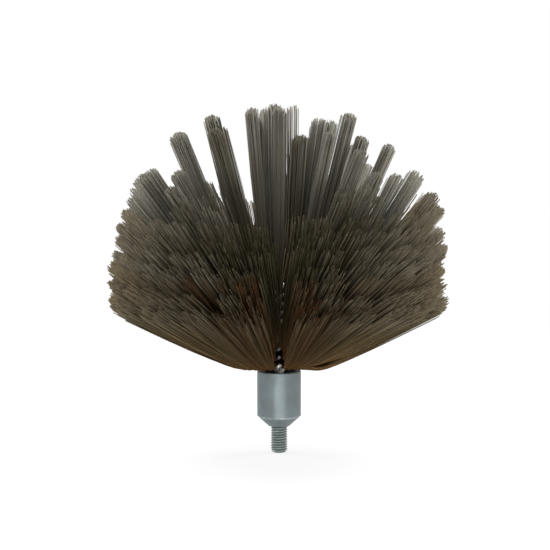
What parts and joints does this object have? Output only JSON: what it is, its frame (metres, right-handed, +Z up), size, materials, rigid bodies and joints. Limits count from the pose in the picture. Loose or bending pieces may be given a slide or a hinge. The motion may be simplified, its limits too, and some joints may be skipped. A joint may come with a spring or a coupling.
{
  "type": "cobweb brush",
  "caption": "Dome of stiff brown bristle on a twisted wire stem, held in a plated ferrule with a threaded stud for a pole.",
  "frame": {"origin": "centre of the stud where it leaves the ferrule's foot, which is where the pole's end seats", "axes": "+Z up the stem to the crown of the brush, +X to the right and -Y towards the viewer in the picture"},
  "size_m": [0.2022, 0.1978, 0.2054],
  "materials": {
    "zinc_plate": "satin zinc plate",
    "stud_steel": "dull oiled steel",
    "bush_steel": "plain turned steel",
    "galvanised_wire": "galvanised drawn wire",
    "bristle": "dark brown stiff filament"
  },
  "bodies": {
    "root": {"bristle_crown_bundle_1": "bristle", "bristle_crown_bundle_2": "bristle", "bristle_row_1_bundle_1": "bristle", "bristle_row_1_bundle_2": "bristle", "bristle_row_1_bundle_3": "bristle", "bristle_row_2_bundle_1": "bristle", "bristle_row_2_bundle_2": "bristle", "bristle_row_2_bundle_3": "bristle", "bristle_row_3_bundle_1": "bristle", "bristle_row_3_bundle_2": "bristle", "bristle_row_3_bundle_3": "bristle", "bristle_row_4_bundle_1": "bristle", "bristle_row_4_bundle_2": "bristle", "bristle_row_4_bundle_3": "bristle", "bristle_row_5_bundle_1": "bristle", "bristle_row_5_bundle_2": "bristle", "bristle_row_5_bundle_3": "bristle", "bristle_row_6_bundle_1": "bristle", "bristle_row_6_bundle_2": "bristle", "bristle_row_6_bundle_3": "bristle", "bristle_row_7_bundle_1": "bristle", "bristle_row_7_bundle_2": "bristle", "bristle_row_7_bundle_3": "bristle", "bristle_row_8_bundle_1": "bristle", "bristle_row_8_bundle_2": "bristle", "bristle_row_8_bundle_3": "bristle", "bristle_row_9_bundle_1": "bristle", "bristle_row_9_bundle_2": "bristle", "bristle_row_9_bundle_3": "bristle", "bristle_row_9_bundle_4": "bristle", "ferrule": "zinc_plate", "stem_bush": "bush_steel", "stem_wire_first": "galvanised_wire", "stem_wire_second": "galvanised_wire", "threaded_stud": "stud_steel"}
  },
  "joints": []
}
